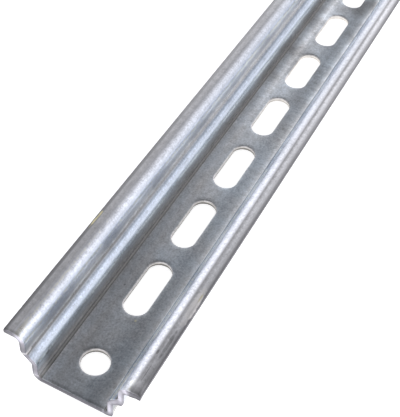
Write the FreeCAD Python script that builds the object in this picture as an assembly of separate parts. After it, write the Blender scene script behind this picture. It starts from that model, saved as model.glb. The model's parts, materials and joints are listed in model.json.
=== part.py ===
"""Top-hat mounting rail with stepped side walls and a row of slots in its web.

The rail is one strip of steel, bent to a hat section that stays the same along its whole length.
From the middle outwards the section is: the flat web, a lower wall, a ledge that slopes outwards
and up, an upper wall and a flange that devices clip over.

X runs along the rail, Y across it and Z up out of the channel. The origin is the middle of the
web's underside. The end with negative X is the start of the slot row.
"""
import FreeCAD, Part
import math
import os

# Section, in millimetres
RAIL_WIDTH = 35.0        # over both flange edges
RAIL_DEPTH = 15.0        # from the web's underside to the flanges' top
SHEET = 1.5              # thickness of the strip
FLANGE_OVERHANG = 4.0    # from an upper wall's outer face to the flange's edge
LEDGE_STEP = 2.8         # how far an upper wall stands outside the lower one
LEDGE_LEVEL = 7.6        # height of the middle of the ledge above the underside
LEDGE_SLOPE = 45.0       # degrees between the ledge and the web
BEND_RADIUS = 0.9        # on the inside of a lower wall's two bends and of the ledge's upper one
FLANGE_BEND = 1.5        # on the inside of the bend between an upper wall and its flange
ROLL_WIDTH = 1.0         # width of the strip along a flange's top edge that is rolled down
ROLL_DROP = 0.4          # how far that strip has dropped at the edge

# Length and punching, in millimetres
RAIL_LENGTH = 500.0
HOLE_PITCH = 25.0        # from one punched opening to the next
END_MARGIN = 10.0        # from the cut end to the centre of the first round hole
ROUND_HOLE = 7.1         # diameter of the hole at each end of the row
SLOT_LENGTH = 18.2       # over the round ends of a slot
SLOT_WIDTH = 6.6

# Sizes that follow from those above
upper_width = RAIL_WIDTH - 2 * FLANGE_OVERHANG
lower_width = upper_width - 2 * LEDGE_STEP
half_sheet = SHEET / 2
row_start = END_MARGIN - RAIL_LENGTH / 2
hole_count = math.floor((RAIL_LENGTH - 2 * END_MARGIN) / HOLE_PITCH + 1e-9) + 1


def middle_line():
    """Corners (y, z) of the line through the middle of the sheet, from the -Y flange to the +Y one.

    A ledge rises by its step times the tangent of its slope, half of it on each side of its level.
    """
    half_rise = LEDGE_STEP * math.tan(math.radians(LEDGE_SLOPE)) / 2
    edge_y = RAIL_WIDTH / 2
    upper_y = upper_width / 2 - half_sheet
    lower_y = lower_width / 2 - half_sheet
    flange_z = RAIL_DEPTH - half_sheet
    right_half = [
        (lower_y, half_sheet),
        (lower_y, LEDGE_LEVEL - half_rise),
        (upper_y, LEDGE_LEVEL + half_rise),
        (upper_y, flange_z),
        (edge_y, flange_z),
    ]
    left_half = [(-y, z) for y, z in reversed(right_half)]
    return [FreeCAD.Vector(0, y, z) for y, z in left_half + right_half]


def left_normal(start, end):
    """Unit vector to the left of the way from start to end, in the YZ plane."""
    way = (end - start).normalize()
    return FreeCAD.Vector(0, -way.z, way.y)


def face_line(corners, shift):
    """The corners of one face of the sheet: the middle line moved to its left by shift.

    A corner between two runs moves along the bisector of their normals, by shift over the cosine
    of half the turn, so that both runs stay at the same distance from the middle line.
    """
    moved = []
    for i, corner in enumerate(corners):
        before = left_normal(corners[max(i - 1, 0)], corners[max(i, 1)])
        after = left_normal(corners[min(i, len(corners) - 2)], corners[min(i + 1, len(corners) - 1)])
        bisector = (before + after).normalize()
        moved.append(corner + bisector * (shift / bisector.dot(before)))
    return moved


def bent_line(corners, shift):
    """Edges of one face of the sheet, with an arc in place of every corner.

    The face on the inside of a bend has the bend's radius there and the other face one sheet more.
    The first and the last corner are the flanges' bends. An arc starts before its corner by the
    radius times the tangent of half the turn.
    """
    inside_radii = [FLANGE_BEND] + [BEND_RADIUS] * (len(corners) - 4) + [FLANGE_BEND]
    edges = []
    start = corners[0]
    for before, corner, after, inside in zip(corners, corners[1:], corners[2:], inside_radii):
        way_in = (corner - before).normalize()
        way_out = (after - corner).normalize()
        turn = way_in.getAngle(way_out)
        turns_left = way_in.cross(way_out).x > 0
        on_inside = turns_left == (shift > 0)
        radius = inside if on_inside else inside + SHEET
        setback = radius * math.tan(turn / 2)
        arc_start = corner - way_in * setback
        arc_end = corner + way_out * setback
        towards_centre = (way_out - way_in).normalize()
        to_centre = radius / math.cos(turn / 2)
        arc_middle = corner + towards_centre * (to_centre - radius)
        edges.append(Part.LineSegment(start, arc_start).toShape())
        edges.append(Part.Arc(arc_start, arc_middle, arc_end).toShape())
        start = arc_end
    edges.append(Part.LineSegment(start, corners[-1]).toShape())
    return edges


def rolled_edge(flat_end, side):
    """Arc that leaves the flange's flat top at flat_end and drops to the edge on the given side.

    It touches the flat, so its radius is the sum of the squares of its width and drop over twice
    the drop, and its centre is straight below flat_end.
    """
    radius = (ROLL_WIDTH ** 2 + ROLL_DROP ** 2) / (2 * ROLL_DROP)
    centre = flat_end - FreeCAD.Vector(0, 0, radius)
    angle = math.asin(ROLL_WIDTH / radius)

    def on_arc(share):
        part_angle = angle * share
        return centre + FreeCAD.Vector(0, side * math.sin(part_angle), math.cos(part_angle)) * radius

    return Part.Arc(on_arc(0), on_arc(0.5), on_arc(1)).toShape()


def hat_section():
    """Closed face of the section, in the plane of the rail's first end."""
    corners = middle_line()
    under = face_line(corners, -half_sheet)
    top = face_line(corners, half_sheet)
    top[0].y += ROLL_WIDTH
    top[-1].y -= ROLL_WIDTH
    left_roll = rolled_edge(top[0], -1)
    right_roll = rolled_edge(top[-1], 1)
    edges = bent_line(top, half_sheet) + bent_line(under, -half_sheet) + [left_roll, right_roll]
    edges.append(Part.LineSegment(left_roll.Vertexes[-1].Point, under[0]).toShape())
    edges.append(Part.LineSegment(right_roll.Vertexes[-1].Point, under[-1]).toShape())
    face = Part.Face(Part.Wire(Part.__sortEdges__(edges)))
    face.translate(FreeCAD.Vector(-RAIL_LENGTH / 2, 0, 0))
    return face


def slot_punch(x):
    """Solid that passes through the web at x: a box between two half-round ends."""
    radius = SLOT_WIDTH / 2
    straight = SLOT_LENGTH - SLOT_WIDTH
    height = 3 * SHEET
    middle = Part.makeBox(straight, SLOT_WIDTH, height)
    middle.translate(FreeCAD.Vector(x - straight / 2, -radius, -SHEET))
    ends = [
        Part.makeCylinder(radius, height, FreeCAD.Vector(x + side * straight / 2, 0, -SHEET))
        for side in (-1, 1)
    ]
    return middle.multiFuse(ends).removeSplitter()


def round_punch(x):
    """Cylinder that passes through the web at x."""
    return Part.makeCylinder(ROUND_HOLE / 2, 3 * SHEET, FreeCAD.Vector(x, 0, -SHEET))


def punches():
    """The row of punches: round ones at both ends and slots between them, one pitch apart."""
    row = []
    for i in range(hole_count):
        x = row_start + i * HOLE_PITCH
        at_end = i in (0, hole_count - 1)
        row.append(round_punch(x) if at_end else slot_punch(x))
    return row


def din_rail():
    """The finished rail: the section drawn out to its length, with its web punched."""
    bar = hat_section().extrude(FreeCAD.Vector(RAIL_LENGTH, 0, 0))
    return bar.cut(punches())


def main():
    rail = din_rail()
    os.makedirs("parts", exist_ok=True)
    rail.exportStep("parts/din_rail.step")
    print("holes in the row:", hole_count)
    print("volume in cubic millimetres:", round(rail.Volume, 1), "valid:", rail.isValid())


main()
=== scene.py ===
"""Scene for a slotted top-hat mounting rail: finished strip, studio floor, soft light and camera.

Run as a script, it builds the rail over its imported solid, gives it a galvanised finish and sets the stage.
All lengths are metres in the rail's own frame: X along it, Y across it, Z up out of the channel.
"""

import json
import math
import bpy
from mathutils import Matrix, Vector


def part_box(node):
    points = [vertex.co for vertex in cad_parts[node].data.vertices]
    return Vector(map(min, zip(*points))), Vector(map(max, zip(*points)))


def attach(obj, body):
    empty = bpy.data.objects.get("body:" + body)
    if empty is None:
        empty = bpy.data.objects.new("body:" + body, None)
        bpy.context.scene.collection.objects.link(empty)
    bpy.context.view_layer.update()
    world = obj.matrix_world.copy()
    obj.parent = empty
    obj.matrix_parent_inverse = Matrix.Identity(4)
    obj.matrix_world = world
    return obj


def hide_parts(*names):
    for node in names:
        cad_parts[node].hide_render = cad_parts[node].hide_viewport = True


bl_info = {
    "name": "Slotted Mounting Rail",
    "version": (1, 0, 0),
    "blender": (4, 5, 0),
    "location": "View3D > Sidebar > Rail",
    "description": "Builds a stepped top-hat mounting rail, its galvanised finish and its studio",
    "category": "Object",
}

import bmesh
import bpy
import numpy as np
from bpy.props import FloatProperty, FloatVectorProperty, IntProperty, PointerProperty
from mathutils import Matrix, Vector

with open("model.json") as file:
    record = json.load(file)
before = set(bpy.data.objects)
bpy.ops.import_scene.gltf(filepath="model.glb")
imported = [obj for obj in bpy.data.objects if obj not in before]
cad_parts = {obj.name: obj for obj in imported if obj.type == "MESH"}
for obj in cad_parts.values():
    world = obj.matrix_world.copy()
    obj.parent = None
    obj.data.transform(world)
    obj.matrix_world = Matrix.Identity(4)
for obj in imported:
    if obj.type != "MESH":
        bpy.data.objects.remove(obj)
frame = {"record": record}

NODE = "din_rail"
MM = 0.001
LOW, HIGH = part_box(NODE)
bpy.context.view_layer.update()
RAIL_WIDTH = HIGH.y - LOW.y
RAIL_DEPTH = HIGH.z - LOW.z


def stated_mount(name):
    """One of the rail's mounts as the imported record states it; its dims are in millimetres."""
    return next(mount for mount in frame["record"]["mounts"] if mount["name"] == name)


# The row of openings: a round hole, slots and a round hole again
ROUND_DIMS = stated_mount("end_holes")["dims"]
SLOT_DIMS = stated_mount("slot_pair_1")["dims"]
PITCH = (ROUND_DIMS["spacing_x_mm"] - SLOT_DIMS["spacing_x_mm"]) / 2 * MM
HOLE_COUNT = round(ROUND_DIMS["spacing_x_mm"] * MM / PITCH) + 1
FIRST_HOLE = stated_mount("end_holes")["pos_m"][0] - ROUND_DIMS["spacing_x_mm"] * MM / 2 - LOW.x

# Zones of the surface, kept in the U of the second UV map
TOP_FACE = 0.0
UNDERSIDE = 1.0
PUNCHED_WALL = 2.0
CUT_FACE = 3.0

# Points closer together than this are welded
WELD = MM * 1e-4

# Where a straight run of the section has its rows, as shares of the run
STRAIGHT_ROWS = np.array([0.08, 0.5, 0.92])[:, None]

# Rows round a bend of more than the given turn, and round a gentler one
WIDE_TURN = 1.2
WIDE_ROWS = 12
GENTLE_ROWS = 7

# Rows over a rolled flange edge, and over each blunted corner of a cut edge
ROLL_ROWS = 7
BLUNT_ROWS = 4

# How the columns crowd towards a sheared end
CROWDING = 2.2

# Between an opening and its cell's border: rows of the dish, of a slot's cell and of a round hole's
DISH_ROWS = np.array([0.0, 0.3, 0.6, 1.0])
SLOT_ROWS = (0.0, 0.3, 0.6, 1.0)
ROUND_ROWS = (0.0, 0.3, 0.6, 0.8, 0.9, 0.96, 1.0)

# Rows down a punched wall. Over the drawn-in edge: share of the rim's unevenness. Below it: stand-off in
# millimetres, height as a share of the sheet, shares of the rim's and of the tear's unevenness.
DRAWN_ROWS = (0.0, 0.2, 0.5, 0.8, 1.0, 1.0)
WALL_ROWS = (
    (0.0, 0.62, 0.6, 0.0), (0.0, 0.50, 0.4, 1.2), (0.03, 0.42, 1.0, 1.0), (0.06, 0.06, 1.2, 0.4),
    (0.16, 0.0, 0.0, 0.0),
)
UNEVENNESS = 0.018 * MM
TEAR_SEEDS = 1000

# Half the turn that the points over and under a round hole take up
ROUND_LEAN = math.radians(30.0)

# How far the shear dragged the -Y side of the first end, in millimetres: the place across the flat strip,
# then how far it went down at the underside and at the top face, and outwards at the underside.
UNDERSIDE_DOWN = (
    (8.3, 0.0), (9.6, 0.3), (10.9, 0.0), (14.0, 0.0), (16.6, 0.45), (18.0, 1.05), (19.3, 0.2), (21.5, 0.1),
    (24.0, 0.7), (25.4, 0.8), (26.2, 0.4), (27.5, 0.45),
)
TOP_DOWN = ((19.5, 0.0), (22.0, 0.1), (24.6, 0.2), (26.0, 0.2), (27.5, 0.1))
UNDERSIDE_OUT = ((8.3, 0.0), (9.6, 0.35), (10.9, 0.0))

# Edges that turn by more than this are shaded as edges
SHARP_TURN = math.radians(32.0)


# Sizes and colours that a user would change

def length(name, description, millimetres):
    """A length property, given in millimetres and kept in metres."""
    return FloatProperty(name=name, description=description, default=millimetres * MM, min=0.0,
                         unit="LENGTH", precision=5)


def colour(name, description, rgb):
    """A colour property in linear light."""
    return FloatVectorProperty(name=name, description=description, default=rgb, size=3, subtype="COLOR",
                               min=0.0, max=1.0)


def share(name, description, value, top=1.0):
    """A plain number from nought to top."""
    return FloatProperty(name=name, description=description, default=value, min=0.0, max=top)


def angle(name, description, degrees):
    """An angle property, given in degrees."""
    return FloatProperty(name=name, description=description, default=math.radians(degrees),
                         subtype="ANGLE", unit="ROTATION")


class RailSizes(bpy.types.PropertyGroup):
    """Section and punching of the rail."""

    sheet: length("Sheet", "Thickness of the strip", 1.5)
    overhang: length("Flange overhang", "From an upper wall's outer face to the flange's edge", 4.0)
    ledge_step: length("Ledge step", "How far an upper wall stands outside the lower one", 2.8)
    ledge_level: length("Ledge level", "Height of the middle of the ledge", 7.6)
    ledge_slope: angle("Ledge slope", "Between the ledge and the web", 45.0)
    bend_radius: length("Bend radius", "On the inside of the bends round the lower wall and the ledge", 0.9)
    flange_bend: length("Flange bend", "On the inside of the bend between upper wall and flange", 1.5)
    roll_width: length("Roll width", "Strip along a flange's top edge that is rolled down", 1.0)
    roll_drop: length("Roll drop", "How far that strip has dropped at the edge", 0.4)
    rim_round: length("Rim rounding", "Where the punch drew the web into an opening", 0.36)
    dish_width: length("Dish width", "Shallow dish that the punch left round an opening", 1.1)
    dish_depth: length("Dish depth", "Depth of that dish at the rim", 0.06)
    edge_break: length("Edge break", "Blunted corner of every cut edge", 0.1)
    end_roll: length("End roll", "How far the shear drew the top face down at a cut end", 0.22)
    end_roll_width: length("End roll width", "How far in from a cut end that reaches", 0.6)
    drag_reach: length("Drag reach", "How far in from the first end its -Y side is dragged down", 0.9)
    columns: IntProperty(name="Columns", description="Mesh columns from opening to opening", default=12)
    end_columns: IntProperty(name="End columns", description="Mesh columns in each end cell", default=16)


class RailFinish(bpy.types.PropertyGroup):
    """Colours and gloss of the galvanised steel."""

    warm_zinc: colour("Warm zinc", "Plating where the forming rolls rubbed it", (0.875, 0.85, 0.865))
    cool_zinc: colour("Cool zinc", "Plating as it came from the bath", (0.74, 0.85, 1.0))
    bare_steel: colour("Bare steel", "Walls of the punched openings", (0.62, 0.595, 0.57))
    sheared_zinc: colour("Sheared zinc", "Plating drawn over the cut ends", (0.87, 0.845, 0.97))
    passivate: colour("Passivate", "Yellow tinge of the plating's seal", (0.66, 0.60, 0.34))
    dark_mark_colour: colour("Grime", "Dark marks of handling", (0.10, 0.10, 0.11))
    dull_gloss: share("Dull roughness", "Roughness of the dark parts", 0.42)
    drawn_gloss: share("Drawn roughness", "Roughness of the burnished bands", 0.33)
    raggedness: length("Raggedness", "How far a band's border wanders", 0.2)
    grain: share("Grain", "Contrast of the plating's fine grain", 0.42)
    lines: share("Draw lines", "Contrast of the lines that the rolls drew", 0.3)


class StageLook(bpy.types.PropertyGroup):
    """Studio round the rail, and the camera."""

    floor_colour: colour("Floor", "Pale floor", (0.80, 0.80, 0.80))
    floor_glow: share("Floor glow", "Light that the backdrop floor adds where it is seen", 0.72, 2.0)
    overhead: share("Overhead", "Brightness of the studio straight above", 0.155)
    horizon: share("Horizon", "Brightness of the studio round the horizon", 1.5, 2.0)
    near_softbox: share("Near softbox", "Radiance of the softbox on the -Y side", 0.38, 10.0)
    far_softbox: share("Far softbox", "Radiance of the softbox on the +Y side", 0.38, 10.0)
    heading: angle("Heading", "Camera's way over the floor, from +X towards +Y", 23.3)
    descent: angle("Descent", "How steeply the camera looks down", 47.56)
    roll: angle("Roll", "Turn of the picture about the line of sight", -5.44)
    aim_along: length("Aim along", "From the slot row's first hole to the point looked at", 55.506)
    aim_across: length("Aim across", "The same point's place across the web", 1.119)
    distance: length("Distance", "From the camera to the point looked at", 249.12)
    focal: length("Focal length", "For a sensor whose long side is 36 mm", 79.19)


# The rail's surface

class Shell:
    """Grids of points that are welded into one closed mesh.

    Every grid point also has its place on the strip as it was before forming, along and across it,
    and every grid has a zone and a depth below the top face, from 0 to 1.
    """

    def __init__(self):
        self.points, self.quads, self.strip, self.zone = [], [], [], []
        self.count = 0

    def add(self, points, along, across, zone, depth):
        """One grid of rows by columns; the other values are broadcast to it."""
        rows, columns = points.shape[:2]
        index = self.count + np.arange(rows * columns).reshape(rows, columns)
        corners = [index[:-1, :-1], index[1:, :-1], index[1:, 1:], index[:-1, 1:]]
        self.quads.append(np.stack(corners, -1).reshape(-1, 4))
        self.points.append(points.reshape(-1, 3))
        for kept, pair in ((self.strip, (along, across)), (self.zone, (zone, depth))):
            spread = [np.broadcast_to(values, (rows, columns)) for values in pair]
            kept.append(np.stack(spread, -1).reshape(-1, 2))
        self.count += rows * columns

    def shift(self, field):
        """Moves every point by a field of its place, its place on the strip and its depth."""
        moved = []
        for points, strip, zone in zip(self.points, self.strip, self.zone):
            moved.append(points + field(points, strip, zone[:, 1]))
        self.points = moved

    def distinct(self, faces):
        """Which faces have no two corners running at the same point."""
        return (faces != np.roll(faces, 1, 1)).all(1)

    def mesh(self, name):
        """One mesh of all grids: points that coincide are welded, and faces that collapse are dropped."""
        points, quads, strip, zone = map(np.concatenate, (self.points, self.quads, self.strip, self.zone))
        _, first, where = np.unique(np.round(points / WELD).astype(np.int64), axis=0,
                                    return_index=True, return_inverse=True)
        where = where.reshape(-1)
        sound = self.distinct(where[quads])
        fours, thin = quads[sound], quads[~sound]
        threes = np.concatenate([thin[:, [0, 1, 2]], thin[:, [0, 2, 3]]])
        threes = threes[self.distinct(where[threes])]
        faces = where[fours].tolist() + where[threes].tolist()
        order = np.concatenate([fours.reshape(-1), threes.reshape(-1)])
        made = bpy.data.meshes.new(name)
        made.from_pydata(points[first].tolist(), [], faces)
        for layer, values in (("strip", strip), ("zone", zone)):
            uv = made.uv_layers.new(name=layer)
            uv.data.foreach_set("uv", values[order].astype(np.float32).reshape(-1))
        return made


def sheet_section(sizes):
    """The +Y half of the section outside the web's flat part.

    The middle line of the sheet is a chain of straight runs and arcs. At any point of it the top
    face lies half a sheet to the left of the way outwards and the underside half a sheet to the
    right. The last stretch of the top face falls along an arc: at a distance d past the start of
    the roll it has dropped by r minus the root of r squared less d squared.
    Returns the two faces as (n, 2) arrays of y and z, the distance across the flat strip, and the
    borders of the straight runs and bends on it, from its middle to its edge.
    """
    half = sizes.sheet / 2
    half_rise = sizes.ledge_step * math.tan(sizes.ledge_slope) / 2
    upper_y = RAIL_WIDTH / 2 - sizes.overhang - half
    lower_y = upper_y - sizes.ledge_step
    corners = np.array([
        (0.0, half),
        (lower_y, half),
        (lower_y, sizes.ledge_level - half_rise),
        (upper_y, sizes.ledge_level + half_rise),
        (upper_y, RAIL_DEPTH - half),
        (RAIL_WIDTH / 2, RAIL_DEPTH - half),
    ])
    ways = np.diff(corners, axis=0)
    ways /= np.linalg.norm(ways, axis=1)[:, None]
    lefts = np.stack([-ways[:, 1], ways[:, 0]], 1)
    middle, normal, turns_at = [], [], []
    start = None
    inside_radii = [sizes.bend_radius] * 3 + [sizes.flange_bend]
    for i, (corner, inside) in enumerate(zip(corners[1:-1], inside_radii)):
        radius = half + inside
        cross = ways[i][0] * ways[i + 1][1] - ways[i][1] * ways[i + 1][0]
        turn = math.atan2(cross, ways[i] @ ways[i + 1])
        setback = radius * math.tan(abs(turn) / 2)
        arc_start = corner - ways[i] * setback
        if start is not None:
            middle.append(start + (arc_start - start) * STRAIGHT_ROWS)
            normal.append(np.repeat(lefts[i][None], len(STRAIGHT_ROWS), 0))
        side = math.copysign(1.0, turn)
        centre = arc_start + lefts[i] * radius * side
        rows = WIDE_ROWS if abs(turn) > WIDE_TURN else GENTLE_ROWS
        swept = np.linspace(0.0, turn, rows)[:, None]
        turned = lefts[i] * np.cos(swept) + np.array([-lefts[i][1], lefts[i][0]]) * np.sin(swept)
        before = sum(len(part) for part in middle)
        turns_at += [before, before + rows - 1]
        middle.append(centre - turned * radius * side)
        normal.append(turned)
        start = corner + ways[i + 1] * setback
    roll_start = np.array([RAIL_WIDTH / 2 - sizes.roll_width, RAIL_DEPTH - half])
    in_roll = np.linspace(0.0, 1.0, ROLL_ROWS)[:, None]
    middle.append(start + (roll_start - start) * STRAIGHT_ROWS)
    middle.append(roll_start + np.array([sizes.roll_width, 0.0]) * in_roll)
    normal.append(np.repeat(lefts[-1][None], len(STRAIGHT_ROWS) + ROLL_ROWS, 0))
    middle, normal = np.concatenate(middle), np.concatenate(normal)
    top, under = middle + normal * half, middle - normal * half
    roll_radius = (sizes.roll_width ** 2 + sizes.roll_drop ** 2) / (2 * sizes.roll_drop)
    past = np.clip(middle[-ROLL_ROWS:, 0] - roll_start[0], 0.0, None)
    top[-ROLL_ROWS:, 1] -= roll_radius - np.sqrt(roll_radius ** 2 - past ** 2)
    steps = np.linalg.norm(np.diff(middle, axis=0), axis=1)
    across = middle[0, 0] + np.concatenate([[0.0], np.cumsum(steps)])
    borders = np.concatenate([[0.0], across[turns_at], [across[-1] - sizes.roll_width, across[-1]]])
    return top, under, across, borders


def cut_profile(sizes):
    """Rows over a cut edge from its top corner to its lower one.

    Columns: how far the row stands back from the cut plane, and how far down the sheet it is, as a
    share of the sheet. Both corners are blunted by a quarter circle.
    """
    blunt = sizes.edge_break
    quarter = np.linspace(0.0, math.pi / 2, BLUNT_ROWS)
    back = blunt * (1 - np.sin(quarter))
    down = blunt * (1 - np.cos(quarter)) / sizes.sheet
    return np.concatenate([back, back[::-1]]), np.concatenate([down, 1 - down[::-1]])


def column_places(sizes):
    """X of the mesh columns, cell by cell; each cell's list ends where the next one starts.

    A cell runs from half way before its opening to half way after it, and the two end cells run
    to the blunted corner of the cut ends. There the columns crowd together: their distances from
    the corner grow with a power of their number.
    """
    borders = LOW.x + FIRST_HOLE + (np.arange(HOLE_COUNT + 1) - 0.5) * PITCH
    borders[0] = LOW.x + sizes.edge_break
    borders[-1] = HIGH.x - sizes.edge_break
    crowded = np.linspace(0.0, 1.0, sizes.end_columns + 1) ** CROWDING
    even = np.linspace(0.0, 1.0, sizes.columns + 1)
    spreads = [crowded] + [even] * (HOLE_COUNT - 2) + [1 - crowded[::-1]]
    return [a + (b - a) * spread for a, b, spread in zip(borders, borders[1:], spreads)]


def carried(profile, side, x):
    """Points of a profile of y and z at every x, mirrored to the -Y side where side is -1."""
    return np.stack(np.broadcast_arrays(x, profile[:, 0] * side, profile[:, 1]), -1)


def add_sides(shell, sizes, columns, section):
    """Everything outside the web's flat part, on both sides: one section carried along X.

    Returns the section's two faces, ended at the blunted flange edge, and that edge.
    """
    top, under, across = section
    back, down = cut_profile(sizes)
    edge = np.stack([RAIL_WIDTH / 2 - back, top[-1, 1] - down * (top[-1, 1] - under[-1, 1])], 1)
    top[-1], under[-1] = edge[0], edge[-1]
    x = columns[:, None]
    for side in (1.0, -1.0):
        shell.add(carried(top, side, x), x, across * side, TOP_FACE, 0.0)
        shell.add(carried(under, side, x), x, across * side, UNDERSIDE, 1.0)
        shell.add(carried(edge, side, x), x, across[-1] * side, CUT_FACE, down)
    return top, under, edge


def add_ends(shell, sizes, section, web_steps):
    """The two sheared ends: the whole section from edge to edge, by the rows of the cut profile."""
    top, under, edge, across = section
    back, down = cut_profile(sizes)
    flat_y = np.linspace(-top[0, 0], top[0, 0], web_steps + 1)[1:-1]
    flat_top = np.stack([flat_y, np.full_like(flat_y, sizes.sheet)], 1)
    flat_under = np.stack([flat_y, np.zeros_like(flat_y)], 1)
    mirror = np.array([-1.0, 1.0])
    full_top = np.concatenate([top[::-1] * mirror, flat_top, top])
    full_under = np.concatenate([under[::-1] * mirror, flat_under, under])
    full_across = np.concatenate([-across[::-1], flat_y, across])
    rows = full_top[None] + (full_under - full_top)[None] * down[:, None, None]
    for end_x, inward in ((LOW.x, 1.0), (HIGH.x, -1.0)):
        x = np.broadcast_to((end_x + back * inward)[:, None], rows.shape[:2])
        points = np.concatenate([x[..., None], rows], -1)
        shell.add(points, end_x, full_across, CUT_FACE, down[:, None])
        # the corner pieces between this end and the flanges' edges
        for side, column in ((1.0, points[:, -1]), (-1.0, points[:, 0])):
            lip = carried(edge, side, end_x + sizes.edge_break * inward)
            shell.add(np.stack([column, lip]), end_x, across[-1] * side, CUT_FACE, down)


def rim_wobble(count, seed):
    """Smooth random figure round an opening, between about -1 and 1."""
    values = np.random.default_rng(seed).normal(size=count)
    return values / 2 + (np.roll(values, 1) + np.roll(values, -1)) / 4


def add_cell(shell, sizes, cell, x_hole, straight, radius, flat_half, ny, seed):
    """One cell of the web, with its opening.

    A ring of points runs round the opening: from the two ends of a straight middle of the given
    length, it stands off by the opening's radius plus an offset. The web's two faces blend from
    that ring to the cell's rectangular border. Between them a row's offset and height follow the
    punched wall: a quarter circle where the punch drew the sheet in, a smooth sheared band, then a
    torn band that flares out to the lower corner. Round the rim the top face is dished: its drop
    falls off as the square of the distance left to the dish's edge.
    """
    nx = len(cell) - 1
    lean = 0.0 if straight > 0 else ROUND_LEAN
    quarter = math.pi / 2

    def run(a, b, n):
        return np.linspace(a, b, n, endpoint=False)

    spine = np.concatenate([run(-straight, straight, nx), np.full(ny, straight),
                            run(straight, -straight, nx), np.full(ny, -straight)])
    turn = np.concatenate([run(-quarter - lean, lean - quarter, nx), run(lean - quarter, quarter - lean, ny),
                           run(quarter - lean, quarter + lean, nx),
                           run(quarter + lean, 3 * quarter - lean, ny)])
    border_x = np.concatenate([cell[:-1], np.full(ny, cell[-1]), cell[:0:-1], np.full(ny, cell[0])])
    border_y = np.concatenate([np.full(nx, -flat_half), run(-flat_half, flat_half, ny),
                               np.full(nx, flat_half), run(flat_half, -flat_half, ny)])
    border = np.stack([border_x, border_y], -1)
    wobble = rim_wobble(len(turn), seed)
    tear = rim_wobble(len(turn), seed + TEAR_SEEDS)

    def ring(offset):
        reach = radius + offset
        return np.stack([x_hole + spine + reach * np.cos(turn), reach * np.sin(turn)], -1)

    def closed(grid):
        return np.concatenate([grid, grid[:, :1]], 1)

    def add(xy, z, zone):
        z = np.broadcast_to(z, xy.shape[:2])
        points = np.concatenate([xy, z[..., None]], -1)
        shell.add(points, xy[..., 0], xy[..., 1], zone, 1 - z / thick)

    rim = sizes.rim_round
    thick = sizes.sheet
    wall = np.array(WALL_ROWS)
    dish = closed(np.stack([ring(rim + sizes.dish_width * row) for row in DISH_ROWS]))
    add(dish, thick - (sizes.dish_depth * (1 - DISH_ROWS) ** 2)[:, None], TOP_FACE)
    blends = np.array(SLOT_ROWS if straight > 0 else ROUND_ROWS)[:, None, None]
    for z, offset, zone in ((thick, rim + sizes.dish_width, TOP_FACE), (0.0, wall[-1, 0] * MM, UNDERSIDE)):
        inner = ring(offset)
        add(closed(inner + (border - inner) * blends), z, zone)
    drawn = len(DRAWN_ROWS)
    roll = np.linspace(0.0, quarter, drawn)
    offsets = np.concatenate([rim * (1 - np.sin(roll)), wall[:, 0] * MM])
    heights = np.concatenate([thick - sizes.dish_depth - rim * (1 - np.cos(roll)), wall[:, 1] * thick])
    uneven = np.concatenate([DRAWN_ROWS, wall[:, 2]])[:, None] * wobble
    uneven += np.concatenate([np.zeros(drawn), wall[:, 3]])[:, None] * tear
    rows = closed(np.stack([ring(offset + move * UNEVENNESS) for offset, move in zip(offsets, uneven)]))
    add(rows[:drawn], heights[:drawn, None], TOP_FACE)
    add(rows[drawn - 1:], heights[drawn - 1:, None], PUNCHED_WALL)


def dragged(outwards, table):
    """How far a table of the drag moves the points at their places across the flat strip."""
    return np.interp(outwards / MM, *zip(*table)) * MM


def shear_marks(sizes, points, strip, depth):
    """How far the shear moved each point at the cut ends.

    At both ends the top face falls by the end roll times the square of one minus the distance in
    over its width. At the first end the -Y side is dragged down as well: by an amount that changes
    over the section, different for the top face and the underside, times the bell curve of the
    distance in over the drag's reach. The underside of the first bend is dragged outwards too.
    """
    inwards = np.minimum(points[:, 0] - LOW.x, HIGH.x - points[:, 0])
    fall = sizes.end_roll * np.clip(1 - inwards / sizes.end_roll_width, 0.0, 1.0) ** 2
    bell = np.exp(-((points[:, 0] - LOW.x) / sizes.drag_reach) ** 2)
    outwards = -strip[:, 1]
    drag = dragged(outwards, TOP_DOWN) * (1 - depth) + dragged(outwards, UNDERSIDE_DOWN) * depth
    down = np.minimum(fall * (1 - depth) + drag * bell, points[:, 2] - LOW.z)
    out = dragged(outwards, UNDERSIDE_OUT) * depth * bell
    return np.stack([np.zeros_like(fall), -out, -down], -1)


def rail_mesh(sizes):
    """The whole rail as one closed mesh."""
    shell = Shell()
    top, under, across, borders = sheet_section(sizes)
    flat_half = borders[1]
    cells = column_places(sizes)
    columns = np.concatenate([cell[:-1] for cell in cells] + [cells[-1][-1:]])
    top, under, edge = add_sides(shell, sizes, columns, (top, under, across))
    web_steps = 2 * sizes.columns
    add_ends(shell, sizes, (top, under, edge, across), web_steps)
    for i, cell in enumerate(cells):
        at_end = i in (0, HOLE_COUNT - 1)
        radius = (ROUND_DIMS if at_end else SLOT_DIMS)["hole_r_mm"] * MM
        straight = 0.0 if at_end else SLOT_DIMS["slot_length_mm"] * MM / 2 - radius
        x_hole = LOW.x + FIRST_HOLE + i * PITCH
        add_cell(shell, sizes, cell, x_hole, straight, radius, flat_half, web_steps, i)
    shell.shift(lambda points, strip, depth: shear_marks(sizes, points, strip, depth))
    return shell.mesh("zinc_strip")


# Shader arithmetic

def operator(operation, reflected=False):
    """An operator that adds one Math node; its operands change places for the reflected form."""
    if reflected:
        return lambda self, other: self.maker.math(operation, other, self)
    return lambda self, other: self.maker.math(operation, self, other)


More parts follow.
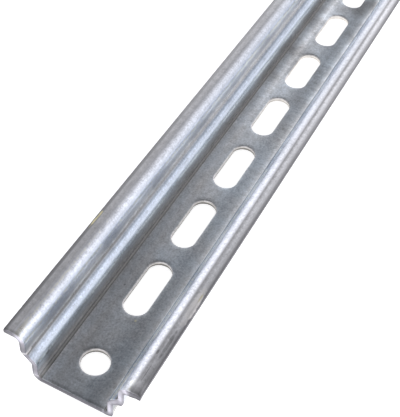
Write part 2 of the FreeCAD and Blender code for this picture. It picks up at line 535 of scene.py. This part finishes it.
class Signal:
    """A socket that takes part in arithmetic; every operator adds the Math node that it stands for."""

    def __init__(self, maker, socket):
        self.maker = maker
        self.socket = socket

    __add__ = operator("ADD")
    __radd__ = operator("ADD", reflected=True)
    __sub__ = operator("SUBTRACT")
    __rsub__ = operator("SUBTRACT", reflected=True)
    __mul__ = operator("MULTIPLY")
    __rmul__ = operator("MULTIPLY", reflected=True)
    __truediv__ = operator("DIVIDE")
    __rtruediv__ = operator("DIVIDE", reflected=True)
    __gt__ = operator("GREATER_THAN")
    __lt__ = operator("LESS_THAN")

    def __abs__(self):
        return self.maker.math("ABSOLUTE", self)


class Maker:
    """Adds nodes to one tree."""

    def __init__(self, tree):
        self.tree = tree
        self.tree.nodes.clear()

    def node(self, kind, settings=None, inputs=None, ramp=None):
        """Any node: its settings first, then a ramp's stops, then its inputs by name or number."""
        made = self.tree.nodes.new(kind)
        for key, value in (settings or {}).items():
            setattr(made, key, value)
        if ramp:
            stops = made.color_ramp.elements
            while len(stops) > 1:
                stops.remove(stops[-1])
            stops[0].position = ramp[0][0]
            stops[0].color = ramp[0][1]
            for place, value in ramp[1:]:
                stops.new(place).color = value
        for key, value in (inputs or {}).items():
            socket = made.inputs[key]
            if isinstance(value, Signal):
                self.tree.links.new(value.socket, socket)
            else:
                socket.default_value = value
        return made

    def out(self, made, key=0):
        """One output of a node, ready for arithmetic."""
        return Signal(self, made.outputs[key])

    def math(self, operation, first, second=0.0):
        """One Math node."""
        return self.out(self.node("ShaderNodeMath", {"operation": operation}, {0: first, 1: second}))

    def smooth(self, value, low, high, start=0.0, stop=1.0):
        """Eased step of value, from start at low to stop at high."""
        made = self.node("ShaderNodeMapRange", {"interpolation_type": "SMOOTHSTEP"},
                         {"Value": value, "From Min": low, "From Max": high, "To Min": start, "To Max": stop})
        return self.out(made)

    def mix(self, factor, first, second):
        """Colours mixed by factor."""
        made = self.node("ShaderNodeMix", {"data_type": "RGBA"}, {0: factor, 6: first, 7: second})
        return self.out(made, 2)

    def blend(self, factor, first, second):
        """Numbers mixed by factor."""
        return (second - first) * factor + first

    def noise(self, vector, scale, detail, roughness):
        """Noise round nought."""
        made = self.node("ShaderNodeTexNoise", {"noise_dimensions": "3D"},
                         {"Vector": vector, "Scale": scale, "Detail": detail, "Roughness": roughness})
        return self.out(made) - 0.5

    def lines(self, vector, along, across, detail, roughness):
        """Noise round nought with its own scale along and across."""
        made = self.node("ShaderNodeVectorMath", {"operation": "MULTIPLY"},
                         {0: vector, 1: (along, across, 1.0)})
        return self.noise(self.out(made), 1.0, detail, roughness)

    def split(self, vector):
        """The three parts of a vector."""
        made = self.node("ShaderNodeSeparateXYZ", None, {0: vector})
        return [self.out(made, i) for i in range(3)]

    def curves(self, place, stops):
        """Three curves over one place from 0 to 1: a ramp's red, green and blue."""
        made = self.node("ShaderNodeValToRGB", None, {0: place}, ramp=stops)
        parts = self.node("ShaderNodeSeparateColor", None, {0: self.out(made)})
        return [self.out(parts, i) for i in range(3)]

    def scaled(self, vector, factor):
        """A colour or vector times one number."""
        made = self.node("ShaderNodeVectorMath", {"operation": "SCALE"}, {0: vector, "Scale": factor})
        return self.out(made)

    def spot(self, along, across, centre, size, wander):
        """Soft-edged oval mark: 1 inside, 0 outside, with a border that wanders."""
        ox = (along - centre[0]) / size[0]
        oy = (across - centre[1]) / size[1]
        return self.smooth(ox * ox + oy * oy + wander, 1.2, 0.3)


def grey(value):
    """A ramp stop's colour for one value."""
    return (value, value, value, 1.0)


def rgba(rgb):
    """A colour with full alpha."""
    return (*rgb, 1.0)


# Noise of the plating: scale per metre, detail and roughness
GRAIN = (1900.0, 2.0, 0.7)
MOTTLE = (600.0, 3.0, 0.6)
PATCHES = (110.0, 3.0, 0.55)

# Noise drawn out along the strip: scale along and across per metre, detail and roughness
FINE_LINES = (12.0, 2600.0, 3.0, 0.6)
BROAD_LINES = (4.0, 700.0, 2.0, 0.55)
STROKES = (1000.0, 200.0, 2.0, 0.5)

# Length in millimetres over which the bands swing from their near look to their far one and back
SWING = 270.0

# Looks that change along the strip: where they start and are full, in millimetres from the first end
FIRST_END_LOOK = (14.0, 0.0)
TIP = (4.8, 2.0)
BRIGHT_WEB = (40.0, 0.0)
FAR_WEB = (85.0, 150.0)
STROKES_START = (70.0, 110.0)
STROKES_FADE = (200.0, 120.0)
SHADED_BRINK = (1.2, 0.2)
SHADED_CORNER = (0.9, 0.3)
PALE_WALLS = (80.0, 140.0)

# The same across the strip, in millimetres from its middle line
RAGGED_SIDES = (10.5, 13.0)
STROKED_SIDES = (3.2, 5.0)
BRIGHT_SIDE = (4.0, 8.0)

# The same down through the sheet, as shares of it
RIM = (0.03, 0.09)
TORN = (0.45, 0.85)
LIP = (0.25, 0.1)

# A place in the tables below counts the parts of the section outwards from its middle, with the share of the
# part that it is in. The parts end at 1 web, 2 first bend, 3 lower wall, 4 second bend, 5 ledge, 6 third
# bend, 7 upper wall, 8 flange's bend, 9 flange and 10 rolled edge.

# Bands along the strip, from the first bend outwards: place, then the brightness at the sheared end, just
# past it and half a swing along. Besides the plating's burnish, the brightness holds painted highlights on
# the bends and painted shade in the creases.
INNER_BANDS = (
    # the crease beside the web and the first bend, darkened by painted shade, and the burnished foot of the
    # wall
    (0.98, 0.20, 0.50, 0.35), (1.04, 0.20, 0.27, 0.20), (1.15, 0.27, 0.30, 0.20), (1.35, 0.17, 0.20, 0.17),
    (1.60, 0.12, 0.15, 0.22), (1.70, 0.30, 0.35, 0.40), (1.85, 0.65, 0.75, 0.60), (2.05, 0.80, 0.95, 0.75),
    # the lower wall, dull between its bends
    (2.35, 0.32, 0.55, 0.55), (2.85, 0.50, 0.65, 0.60), (3.05, 0.40, 0.55, 0.70), (3.30, 0.50, 0.55, 0.90),
    # the second bend's crown, burnished and brightened by a painted highlight, the grainy ledge and the third
    # bend, darkened by painted shade
    (3.60, 1.10, 1.05, 1.18), (3.85, 0.78, 0.80, 0.85), (4.15, 0.78, 0.70, 0.55), (4.35, 0.80, 0.75, 0.55),
    (4.60, 0.60, 0.37, 0.28), (4.75, 0.55, 0.42, 0.35), (4.88, 0.20, 0.17, 0.40), (5.08, 0.35, 0.25, 0.50),
    # the upper wall, brightened by a painted highlight
    (5.45, 1.15, 0.85, 0.95), (5.85, 1.18, 1.18, 1.10), (6.45, 1.18, 1.10, 1.00), (6.75, 1.18, 1.05, 1.12),
    (7.00, 1.18, 0.80, 1.18),
)

# The same from the flange's bend outwards, on the +Y side and on the -Y side.
PLUS_BANDS = (
    # the flange's bend, burnished and with painted highlights on its two shoulders
    (7.00, 1.18, 0.80, 1.18), (7.10, 1.18, 0.75, 1.18), (7.20, 1.18, 1.18, 1.18), (7.30, 1.00, 1.12, 0.90),
    (7.42, 0.75, 0.70, 0.55), (7.65, 1.05, 0.75, 0.60), (7.73, 1.18, 1.05, 0.62), (7.82, 1.18, 1.18, 0.60),
    (7.93, 1.12, 0.77, 0.45),
    # the dull flange, and painted shade on its rolled edge
    (8.10, 0.50, 0.48, 0.50), (8.85, 0.55, 0.55, 0.52), (9.00, 0.38, 0.30, 0.40), (9.25, 0.18, 0.15, 0.33),
    (9.50, 0.12, 0.14, 0.30), (9.75, 0.05, 0.07, 0.18),
)
MINUS_BANDS = (
    # the flange's bend and the flange, with the same painted highlights and painted shade
    (7.00, 1.18, 0.80, 1.15), (7.10, 1.18, 1.18, 1.18), (7.30, 1.18, 1.18, 1.15), (7.42, 1.10, 0.72, 0.90),
    (7.55, 0.65, 0.67, 0.75), (7.65, 0.50, 0.68, 0.70), (7.82, 0.78, 0.80, 0.75), (7.93, 1.00, 1.15, 0.70),
    (8.10, 0.70, 0.56, 0.35), (8.37, 0.78, 0.62, 0.68), (8.65, 0.68, 0.79, 0.92), (8.85, 0.50, 0.75, 0.84),
    (9.25, 0.46, 0.78, 0.64), (9.50, 0.32, 0.34, 0.36), (9.75, 0.20, 0.14, 0.30),
)

# How much brighter the bands are in the first millimetres: place, +Y side, -Y side.
TIP_BANDS = (
    (1.00, 1.3, 1.0), (1.06, 2.2, 1.0), (1.35, 1.7, 1.0), (1.58, 2.3, 1.0), (1.85, 1.6, 1.0),
    (2.50, 2.1, 1.0), (3.30, 1.6, 1.0), (3.84, 0.8, 1.0), (4.30, 0.85, 1.0), (4.60, 0.7, 1.0),
    (4.88, 0.9, 1.0), (5.08, 0.7, 1.0), (5.85, 1.1, 1.0), (6.74, 1.05, 1.0), (7.05, 0.8, 1.0),
    (7.20, 1.1, 1.1), (7.42, 0.9, 0.9), (7.65, 1.1, 0.95), (7.82, 1.4, 1.15), (7.93, 0.95, 1.25),
    (8.63, 1.1, 1.25), (9.50, 0.9, 1.4),
)

# How much brighter the ledge is on the -Y side, past a dark draw line: place, factor.
LEDGE_BANDS = ((3.20, 1.2), (3.65, 1.2), (3.82, 0.7), (4.00, 0.7), (4.12, 1.7), (4.50, 1.6), (4.70, 1.0))

# Tint of the plating outwards: place, then red and blue as shares of the green.
TINT_BANDS = (
    (1.0, 1.01, 1.02), (1.6, 1.03, 1.00), (2.1, 1.01, 0.98), (2.4, 0.98, 1.04), (2.9, 0.93, 1.06),
    (3.5, 0.92, 1.08), (4.15, 0.92, 1.18), (4.6, 0.90, 1.20), (4.88, 1.00, 1.05), (5.5, 1.00, 1.04),
    (6.5, 0.96, 1.05), (7.15, 0.94, 1.14), (7.5, 0.95, 1.14), (8.2, 1.00, 1.07),
)

# How grainy the plating is: place, share.
GRAIN_BANDS = (
    (0.95, 0.8), (1.1, 0.3), (2.5, 0.6), (3.5, 0.4), (4.1, 0.5), (4.3, 1.0), (4.6, 1.0), (4.9, 0.5),
    (5.5, 0.3), (6.5, 0.3), (7.6, 0.7), (8.1, 0.5),
)

# The web from its -Y edge to its +Y edge: the place as a share of half its width, the brightness near
# the first end and further along, and how cool the tone is.
WEB_BANDS = (
    (-1.0, 0.80, 0.80, 0.35), (-0.95, 0.84, 0.78, 0.35), (-0.87, 0.63, 0.47, 0.45), (-0.77, 0.50, 0.33, 0.6),
    (-0.55, 0.40, 0.25, 0.65), (-0.35, 0.44, 0.30, 0.65), (0.0, 0.54, 0.42, 0.5), (0.15, 0.56, 0.48, 0.5),
    (0.30, 0.55, 0.48, 0.5), (0.48, 0.52, 0.57, 0.4), (0.58, 0.50, 0.74, 0.3), (0.67, 0.50, 0.60, 0.3),
    (0.77, 0.50, 0.47, 0.4), (0.87, 0.50, 0.37, 0.45), (1.0, 0.50, 0.34, 0.25),
)

# The sheared ends: place, then the brightness on the +Y and on the -Y side.
END_BANDS = (
    # the web's edge and the first bend
    (0.93, 0.16, 0.18), (0.97, 0.16, 0.34), (1.15, 0.20, 0.28), (1.27, 0.22, 0.26), (1.66, 0.42, 0.43),
    # the lower wall, torn bright on the -Y side, and the ledge
    (2.1, 0.40, 0.74), (2.6, 0.32, 0.78), (3.1, 0.30, 0.50), (3.76, 0.40, 0.44), (4.27, 0.48, 0.46),
    (4.65, 0.30, 0.42), (5.08, 0.32, 0.40),
    # the upper wall and the flange's bend, whose highlight is painted on over the cut face
    (5.85, 0.28, 0.66), (6.35, 0.24, 0.72), (6.78, 0.32, 0.58), (7.14, 0.43, 0.52), (7.42, 0.76, 0.42),
    (7.6, 0.74, 0.70), (7.72, 0.62, 0.80), (7.82, 0.44, 0.45), (8.0, 0.25, 0.22), (8.63, 0.21, 0.18),
    (9.45, 0.15, 0.17),
)

# Marks: along from the first end and across in millimetres, then their half sizes.
YELLOW_MARKS = (
    ((24.7, -2.3), (0.35, 0.3)), ((18.7, -22.6), (0.4, 0.25)), ((37.0, 26.9), (2.2, 0.3)),
    ((39.7, 26.8), (1.6, 0.3)), ((29.5, -26.8), (1.6, 0.25)),
)
# pale warm patches
PALE_MARKS = (
    ((26.5, -26.5), (7.0, 1.0)), ((28.5, -26.5), (3.2, 0.6)), ((0.9, 18.2), (1.3, 0.5)),
    ((0.9, 10.5), (1.2, 0.45)),
)
# dark marks, the first a long streak along the -Y flange near the first end
DARK_MARKS = (
    ((14.5, -26.4), (5.0, 0.45)), ((11.5, -25.3), (0.7, 0.3)), ((5.6, -25.8), (3.2, 0.12)),
    ((33.0, 5.6), (0.3, 0.25)), ((4.5, 14.3), (0.8, 0.3)), ((0.8, 14.5), (0.5, 0.2)),
)

# A punched wall from its top downwards: depth, brightness. A sheared band lies over a torn one.
WALL_BANDS = ((0.0, 0.95), (0.42, 1.0), (0.52, 0.30), (0.85, 0.28), (1.0, 0.6))


def zinc_material(sizes, finish):
    """Galvanised strip: bands along the bends, of burnish with painted highlights and painted shade, draw
    lines, grain, stains and cut steel.

    The first UV map gives the place on the flat strip, so that the bands and lines keep to the
    bends. The second gives the zone, which tells faces, punched walls and cut edges apart, and the
    depth in the sheet. A brightness is a factor on the plating's or the steel's own colour.
    """
    material = bpy.data.materials.new("zinc_steel")
    material.use_nodes = True
    m = Maker(material.node_tree)
    strip = m.out(m.node("ShaderNodeUVMap", {"uv_map": "strip"}))
    zone = m.out(m.node("ShaderNodeUVMap", {"uv_map": "zone"}))
    coordinates = m.out(m.node("ShaderNodeTexCoord"), "Object")
    along, across, _ = m.split(strip)
    kind, depth, _ = m.split(zone)
    from_end = (along - LOW.x) / MM
    aside = across / MM
    *_, borders = sheet_section(sizes)
    reach = borders[-1]

    def place(count):
        return float(np.interp(count, np.arange(len(borders)), borders) / reach)

    def bands(where, table):
        return m.curves(where, [(place(count), rgba((*values, 0.0, 0.0)[:3])) for count, *values in table])

    def in_zone(which):
        return m.smooth(abs(kind - which), 0.6, 0.4)

    grain, mottle, patches = (m.noise(coordinates, *noise) for noise in (GRAIN, MOTTLE, PATCHES))
    fine_lines, broad_lines, strokes = (
        m.lines(strip, *noise) for noise in (FINE_LINES, BROAD_LINES, STROKES))
    on_web = abs(across) < borders[1]
    on_minus_side = across < 0.0

    # the bands outside the web, burnish with painted highlights and painted shade, with ragged borders
    ragged = (grain * 2.0 + mottle) * finish.raggedness
    outwards = (abs(across) + ragged * m.smooth(abs(aside), *RAGGED_SIDES)) / reach
    slow = 0.5 - m.math("COSINE", from_end * (2 * math.pi / SWING)) * 0.5
    # over the first 14 millimetres the bands go from their brightness at the sheared end to the one past it
    first_end_look = m.smooth(from_end, *FIRST_END_LOOK)

    def drawn(table):
        end, near, far = bands(outwards, table)
        return m.blend(first_end_look, m.blend(slow, near, far), end)

    band = drawn(INNER_BANDS)
    past_wall = outwards > place(7)
    for table, side in ((PLUS_BANDS, 1.0 - on_minus_side), (MINUS_BANDS, on_minus_side)):
        band = m.blend(past_wall * side, band, drawn(table))
    tip_plus, tip_minus, _ = bands(outwards, TIP_BANDS)
    tip = m.blend(on_minus_side, tip_plus, tip_minus)
    band = band * m.blend(m.smooth(from_end, *TIP), 1.0, tip)
    ledge, *_ = bands(outwards, LEDGE_BANDS)
    band = band * m.blend(on_minus_side, 1.0, ledge)
    # painted shade on the -Y flange at the first end, where the shear turned its top face down
    shaded_corner = m.smooth(from_end, *SHADED_CORNER) * m.smooth(outwards, place(7.9), place(8.2))
    band = band * (1.0 - shaded_corner * on_minus_side * 0.35)
    grainy, *_ = bands(outwards, GRAIN_BANDS)

    # the web
    web_place = (across + ragged) / (2 * borders[1]) + 0.5
    web_near, web_far, web_cool = m.curves(web_place, [
        (share_of_half / 2 + 0.5, rgba(values)) for share_of_half, *values in WEB_BANDS])
    web = m.blend(m.smooth(from_end, *FAR_WEB), web_near, web_far * (1.0 + patches * 1.5))
    stroked = m.smooth(from_end, *STROKES_START) * m.smooth(from_end, *STROKES_FADE, start=0.35)
    web = web * (1.0 + strokes * stroked * m.smooth(abs(aside), *STROKED_SIDES) * 0.6)
    # painted shade over the web's last millimetre at the first end, where the end roll turns it down
    web = web * (0.90 + slow * 0.16) * (1.0 - m.smooth(from_end, *SHADED_BRINK) * 0.05)
    web = web * (1.0 + m.smooth(aside, *BRIGHT_SIDE) * m.smooth(from_end, *BRIGHT_WEB) * 0.7)
    band = m.blend(on_web, band, web)
    grainy = m.blend(on_web, grainy, 0.8)
    rim = m.smooth(depth, *RIM) * on_web * in_zone(TOP_FACE)
    # a painted highlight on the rounding where the punch drew the web into an opening
    band = band * (1.0 + rim * 0.35)
    band = m.blend(in_zone(UNDERSIDE) * 0.5, band, 0.55)

    # the plating's colour
    tint = m.out(m.node("ShaderNodeValToRGB", None, {0: outwards}, ramp=[
        (place(count), (red, 1.0, blue, 1.0)) for count, red, blue in TINT_BANDS]))
    web_cool = web_cool + patches * 0.9 - rim * 0.6
    web_tone = m.mix(web_cool, rgba(finish.warm_zinc), rgba(finish.cool_zinc))
    tone = m.mix(on_web, m.scaled(tint, 0.85), web_tone)
    shade = 1.0 + (grain * 2.4 + mottle * 1.4) * (grainy + 0.3) * finish.grain
    shade = shade + patches * 0.25 + (fine_lines * 0.6 + broad_lines * 0.4) * finish.lines
    tone = m.scaled(tone, band * shade)

    # cut edges: darker at the lip and below on the sides, brighter below on the web
    end_plus, end_minus, _ = bands(abs(across) / reach, END_BANDS)
    below = m.smooth(depth, *TORN)
    lip_strength = 0.45 - m.smooth(outwards, place(4.2), place(4.8)) * 0.35
    lip = 1.0 - m.smooth(depth, *LIP) * lip_strength
    torn = m.blend(on_minus_side, 1.0 - below * 0.35, lip * (1.0 - below * 0.4))
    torn = m.blend(on_web, torn, 1.0 + below * 0.5)
    end_shade = m.math("MINIMUM", m.blend(on_minus_side, end_plus, end_minus) * torn, 0.95)
    end_tone = m.scaled(tuple(finish.sheared_zinc), end_shade * (1.0 + mottle * 0.6 + grain * 0.4))
    tone = m.mix(in_zone(CUT_FACE), tone, end_tone)

    # punched walls, paler further along
    wall, *_ = m.curves(depth, [(share_of_sheet, grey(value)) for share_of_sheet, value in WALL_BANDS])
    wall = m.blend(m.smooth(from_end, *PALE_WALLS) * 0.8, wall, 1.5)
    steel = m.scaled(tuple(finish.bare_steel), wall * (1.0 + mottle * 0.8))
    tone = m.mix(in_zone(PUNCHED_WALL), tone, steel)

    # stains, pale patches and dark marks
    for marks, ink, strength in ((PALE_MARKS, finish.warm_zinc, 0.55),
                                 (YELLOW_MARKS, finish.passivate, 0.5),
                                 (DARK_MARKS, finish.dark_mark_colour, 0.5)):
        for centre, size in marks:
            spot = m.spot(from_end, aside, centre, size, mottle * 2.0)
            tone = m.mix(spot * strength, tone, rgba(ink))

    roughness = m.blend(band, finish.dull_gloss, finish.drawn_gloss) + mottle * 0.12 + fine_lines * 0.08
    height = (fine_lines + broad_lines) * 0.4 + (mottle + grain) * 0.25
    bump = m.node("ShaderNodeBump", None, {"Strength": 0.35, "Distance": 0.03 * MM, "Height": height})
    shader = m.node("ShaderNodeBsdfPrincipled", None, {
        "Base Color": tone,
        "Metallic": 1.0,
        "Roughness": roughness,
        "Normal": m.out(bump),
    })
    m.node("ShaderNodeOutputMaterial", None, {"Surface": m.out(shader)})
    return material


# The stage

# Half the floor's side, and how far below the rail it lies
FLOOR_REACH = 12.0
FLOOR_DROP = 0.02 * MM

# Sines of the height above the horizon between which the studio darkens
STUDIO_DARKENS = (0.46, 0.93)

# Softboxes: name, heading and height in degrees as seen from the rail, width and height in metres. They
# stand at one distance from a place on the rail.
SOFTBOXES = (
    ("near_softbox", -42.0, 34.0, (1.1, 0.45)),
    ("far_softbox", 62.0, 36.0, (0.8, 0.5)),
)
SOFTBOX_DISTANCE = 1.1
SOFTBOX_AIM = 0.09

# Camera
SENSOR = 36.0
NEAREST, FARTHEST = 0.01, 60.0


def floor_material(look):
    """Pale floor that glows where it is seen, in metal too, and still takes the rail's shadow."""
    material = bpy.data.materials.new("pale_floor")
    material.use_nodes = True
    m = Maker(material.node_tree)
    path = m.node("ShaderNodeLightPath")
    seen = m.math("MAXIMUM", m.out(path, "Is Camera Ray"), m.out(path, "Is Glossy Ray"))
    seen = m.math("MAXIMUM", seen, m.out(path, "Is Transmission Ray"))
    plain = m.node("ShaderNodeBsdfDiffuse", None, {"Color": rgba(look.floor_colour)})
    glow = m.node("ShaderNodeEmission", None, {"Color": grey(1.0), "Strength": seen * look.floor_glow})
    both = m.node("ShaderNodeAddShader", None, {0: m.out(plain), 1: m.out(glow)})
    m.node("ShaderNodeOutputMaterial", None, {"Surface": m.out(both)})
    return material


def studio_world(look):
    """A studio that is white round the horizon and darker overhead.

    The brightness follows the sine of the height above the horizon.
    """
    world = bpy.data.worlds.new("studio")
    world.use_nodes = True
    m = Maker(world.node_tree)
    way = m.out(m.node("ShaderNodeTexCoord"), "Generated")
    height = m.out(m.node("ShaderNodeSeparateXYZ", None, {0: way}), 2)
    level = m.smooth(height, *STUDIO_DARKENS, look.horizon, look.overhead)
    background = m.node("ShaderNodeBackground", None, {"Color": grey(1.0), "Strength": level})
    m.node("ShaderNodeOutputWorld", None, {"Surface": m.out(background)})
    return world


def softbox(name, heading, height, size, radiance):
    """Rectangular lamp at a heading and height as seen from the rail, facing it.

    Its power is its radiance times pi times its area.
    """
    lamp = bpy.data.lights.new(name, "AREA")
    lamp.shape = "RECTANGLE"
    lamp.size, lamp.size_y = size
    lamp.energy = radiance * math.pi * size[0] * size[1]
    heading, height = math.radians(heading), math.radians(height)
    flat = math.cos(height)
    way = Vector((flat * math.cos(heading), flat * math.sin(heading), math.sin(height)))
    lamp_object = bpy.data.objects.new(name, lamp)
    lamp_object.location = Vector((LOW.x + SOFTBOX_AIM, 0.0, 0.0)) + way * SOFTBOX_DISTANCE
    lamp_object.rotation_euler = way.to_track_quat("Z", "Y").to_euler()
    bpy.context.scene.collection.objects.link(lamp_object)


# Operators, panel and registration

class RAIL_OT_build(bpy.types.Operator):
    """Build the rail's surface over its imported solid"""

    bl_idname = "rail.build"
    bl_label = "Build the Rail"

    def execute(self, context):
        mesh = rail_mesh(context.scene.rail_sizes)
        shell = bmesh.new()
        shell.from_mesh(mesh)
        bmesh.ops.recalc_face_normals(shell, faces=shell.faces)
        if any(not edge.is_manifold for edge in shell.edges):
            raise RuntimeError("the rail's surface isn't closed")
        shell.to_mesh(mesh)
        shell.free()
        mesh.shade_smooth()
        mesh.set_sharp_from_angle(angle=SHARP_TURN)
        piece = bpy.data.objects.new("zinc_rail", mesh)
        context.scene.collection.objects.link(piece)
        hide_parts(NODE)
        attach(piece, "root")
        return {"FINISHED"}


class RAIL_OT_finish(bpy.types.Operator):
    """Give the rail its galvanised finish"""

    bl_idname = "rail.finish"
    bl_label = "Galvanise the Rail"

    def execute(self, context):
        scene = context.scene
        piece = bpy.data.objects["zinc_rail"]
        piece.data.materials.clear()
        piece.data.materials.append(zinc_material(scene.rail_sizes, scene.rail_finish))
        return {"FINISHED"}


class RAIL_OT_stage(bpy.types.Operator):
    """Set the floor, the studio's light and the two softboxes"""

    bl_idname = "rail.stage"
    bl_label = "Set the Stage"

    def execute(self, context):
        look = context.scene.stage_look
        mesh = bpy.data.meshes.new("floor")
        corners = [(x * FLOOR_REACH, y * FLOOR_REACH, LOW.z - FLOOR_DROP)
                   for x, y in ((-1, -1), (1, -1), (1, 1), (-1, 1))]
        mesh.from_pydata(corners, [], [(0, 1, 2, 3)])
        floor = bpy.data.objects.new("floor", mesh)
        mesh.materials.append(floor_material(look))
        context.scene.collection.objects.link(floor)
        context.scene.world = studio_world(look)
        for name, heading, height, size in SOFTBOXES:
            softbox(name, heading, height, size, getattr(look, name))
        return {"FINISHED"}


class RAIL_OT_camera(bpy.types.Operator):
    """Stand the camera where the photograph was taken from"""

    bl_idname = "rail.camera"
    bl_label = "Place the Camera"

    def execute(self, context):
        scene = context.scene
        look = scene.stage_look
        camera = bpy.data.cameras.new("camera")
        camera.sensor_width = SENSOR
        camera.lens = look.focal / MM
        camera.clip_start, camera.clip_end = NEAREST, FARTHEST
        forward = Vector((math.cos(look.descent) * math.cos(look.heading),
                          math.cos(look.descent) * math.sin(look.heading), -math.sin(look.descent)))
        right = forward.cross(Vector((0.0, 0.0, 1.0))).normalized()
        down = forward.cross(right)
        turned_right = right * math.cos(look.roll) + down * math.sin(look.roll)
        turned_down = down * math.cos(look.roll) - right * math.sin(look.roll)
        aim = Vector((LOW.x + FIRST_HOLE + look.aim_along, look.aim_across, scene.rail_sizes.sheet))
        turn = Matrix((turned_right, -turned_down, -forward)).transposed()
        place = bpy.data.objects.new("camera", camera)
        place.matrix_world = Matrix.Translation(aim - forward * look.distance) @ turn.to_4x4()
        scene.collection.objects.link(place)
        scene.camera = place
        scene.view_settings.view_transform = "Standard"
        return {"FINISHED"}


OPERATORS = (RAIL_OT_build, RAIL_OT_finish, RAIL_OT_stage, RAIL_OT_camera)


class RAIL_PT_panel(bpy.types.Panel):
    """Sizes, finish and stage of the mounting rail"""

    bl_label = "Mounting Rail"
    bl_idname = "RAIL_PT_panel"
    bl_space_type = "VIEW_3D"
    bl_region_type = "UI"
    bl_category = "Rail"

    def draw(self, context):
        for item in OPERATORS:
            self.layout.operator(item.bl_idname)
        for group_name, group in GROUPS.items():
            box = self.layout.box()
            for name in group.__annotations__:
                box.prop(getattr(context.scene, group_name), name)


GROUPS = {"rail_sizes": RailSizes, "rail_finish": RailFinish, "stage_look": StageLook}
CLASSES = (*GROUPS.values(), *OPERATORS, RAIL_PT_panel)


def register():
    for item in CLASSES:
        bpy.utils.register_class(item)
    for name, group in GROUPS.items():
        setattr(bpy.types.Scene, name, PointerProperty(type=group))


def unregister():
    for name in GROUPS:
        delattr(bpy.types.Scene, name)
    for item in reversed(CLASSES):
        bpy.utils.unregister_class(item)


def main():
    """Registers the add-on and builds everything in order."""
    register()
    bpy.ops.rail.build()
    bpy.ops.rail.finish()
    bpy.ops.rail.stage()
    bpy.ops.rail.camera()


if __name__ == "__main__":
    main()
